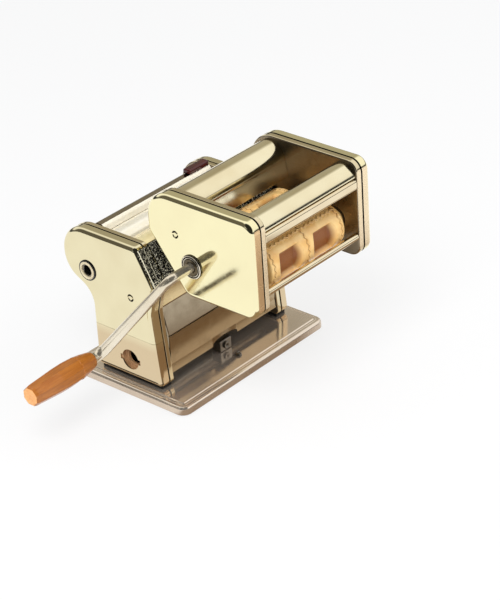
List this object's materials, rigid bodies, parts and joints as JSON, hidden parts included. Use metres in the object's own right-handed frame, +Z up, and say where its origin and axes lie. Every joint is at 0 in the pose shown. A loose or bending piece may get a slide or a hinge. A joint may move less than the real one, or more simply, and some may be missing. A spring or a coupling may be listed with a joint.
{
  "type": "ravioli maker",
  "caption": "Hand-cranked ravioli maker: a geared sheet-rolling body on a pressed base, with a lift-off forming unit on its slanted front and a wooden crank handle.",
  "frame": {"origin": "centre of the whole machine's footprint box, on the table under the rubber feet", "axes": "+Z up, X along the rollers with the crank and its handle towards -X, -Y towards the ravioli unit at the front"},
  "size_m": [0.327, 0.226, 0.2105],
  "materials": {
    "cheek_chrome": "mirror polish, faintly warm",
    "plate_steel": "fine satin",
    "bar_chrome": "bright",
    "roller_chrome": "bright, finely ground",
    "forming_body": "semi-gloss cream",
    "gear_steel": "machined",
    "dark_rail": "dark, satin",
    "rubber_black": "matte",
    "bearing_plastic": "off-white",
    "knob_black": "semi-gloss",
    "clip_red": "glossy dark red",
    "handle_wood": "lacquered orange-brown"
  },
  "bodies": {
    "root": {"base_tray": "cheek_chrome", "rubber_foot_front_left": "rubber_black", "rubber_foot_front_right": "rubber_black", "rubber_foot_rear_left": "rubber_black", "rubber_foot_rear_right": "rubber_black", "cheek_pad_left": "rubber_black", "cheek_pad_right": "rubber_black", "cheek_cover_left": "cheek_chrome", "cheek_cover_right": "cheek_chrome", "side_plate_left": "plate_steel", "side_plate_right": "plate_steel", "front_panel": "cheek_chrome", "rear_cover": "cheek_chrome", "rear_clip": "clip_red", "tie_rod_front": "plate_steel", "tie_rod_rear": "plate_steel", "clamp_block": "gear_steel", "clamp_screw": "gear_steel", "rail_left": "dark_rail", "rail_right": "dark_rail", "roller_bearing_left": "bearing_plastic", "roller_bearing_right": "bearing_plastic", "input_bush": "bearing_plastic", "motor_ring": "dark_rail", "scraper_front": "plate_steel", "scraper_rear": "plate_steel"},
    "input": {"input_shaft": "gear_steel", "input_gear": "gear_steel"},
    "rear_roller": {"rear_sheet_roller": "roller_chrome", "rear_roller_gear": "gear_steel"},
    "roller_carrier": {"carrier_block_left": "plate_steel", "carrier_block_right": "plate_steel"},
    "front_roller": {"front_sheet_roller": "roller_chrome", "front_roller_gear": "gear_steel"},
    "regulator": {"regulator_shaft": "gear_steel", "detent_spring": "gear_steel"},
    "knob": {"regulator_knob": "knob_black"},
    "ravioli_unit": {"ravioli_cover_left": "cheek_chrome", "ravioli_cover_right": "cheek_chrome", "ravioli_plate_left": "plate_steel", "ravioli_plate_right": "plate_steel", "upper_front_bar": "bar_chrome", "lower_front_bar": "bar_chrome", "rear_cross_bar": "plate_steel", "front_dough_guide": "bar_chrome", "rear_dough_guide": "bar_chrome", "forming_bearing_left": "bearing_plastic", "forming_bearing_right": "bearing_plastic", "crank_bush": "bearing_plastic", "rail_shoe_left": "dark_rail", "rail_shoe_right": "dark_rail", "stripper_front": "plate_steel", "stripper_rear": "plate_steel"},
    "rear_forming": {"rear_forming_roller": "forming_body", "rear_forming_gear": "gear_steel"},
    "front_forming": {"front_forming_roller": "forming_body", "front_forming_gear": "gear_steel"},
    "crank": {"crank_rod": "bar_chrome"},
    "handle": {"crank_handle": "handle_wood"}
  },
  "joints": [
    {"name": "input_spin", "type": "hinge", "parent": "root", "child": "input", "pos_m": [-0.0265, 0.08204, 0.11109], "axis": [1, 0, 0], "continuous": true},
    {"name": "rear_roller_spin", "type": "hinge", "parent": "root", "child": "rear_roller", "pos_m": [0.0555, 0.06305, 0.1338], "axis": [1, 0, 0], "continuous": true},
    {"name": "roller_gap_slide", "type": "slide", "parent": "root", "child": "roller_carrier", "axis": [0, -1, 0], "range_m": [0, 0.002]},
    {"name": "front_roller_spin", "type": "hinge", "parent": "roller_carrier", "child": "front_roller", "pos_m": [0.0555, 0.03345, 0.1338], "axis": [1, 0, 0], "continuous": true},
    {"name": "regulator_turn", "type": "hinge", "parent": "root", "child": "regulator", "pos_m": [0.1455, 0.03345, 0.1338], "axis": [1, 0, 0], "range_deg": [0, 180]},
    {"name": "knob_pull", "type": "slide", "parent": "regulator", "child": "knob", "axis": [1, 0, 0], "range_m": [0, 0.004], "stiffness_N_per_m": 400, "springref_m": -0.001, "deforming": ["detent_spring"]},
    {"name": "unit_lift", "type": "slide", "parent": "root", "child": "ravioli_unit", "axis": [0, 0.4785, 0.8781], "range_m": [0, 0.045]},
    {"name": "forming_spin", "type": "hinge", "parent": "ravioli_unit", "child": "rear_forming", "pos_m": [0.0555, -0.03996, 0.14842], "axis": [1, 0, 0], "continuous": true},
    {"name": "front_forming_spin", "type": "hinge", "parent": "ravioli_unit", "child": "front_forming", "pos_m": [0.0555, -0.08536, 0.14842], "axis": [1, 0, 0], "continuous": true},
    {"name": "crank_pull_out", "type": "slide", "parent": "rear_forming", "child": "crank", "axis": [-1, 0, 0], "range_m": [0, 0.035]},
    {"name": "handle_spin", "type": "hinge", "parent": "crank", "child": "handle", "pos_m": [-0.1245, 0.03328, 0.05924], "axis": [1, 0, 0], "continuous": true}
  ],
  "couplings": [
    {"joint": "input_spin", "follows": "rear_roller_spin", "ratio": -1},
    {"joint": "front_roller_spin", "follows": "rear_roller_spin", "ratio": -1},
    {"joint": "front_forming_spin", "follows": "forming_spin", "ratio": -1},
    {"joint": "regulator_turn", "follows": "roller_gap_slide", "rad_per_m": 1570}
  ]
}
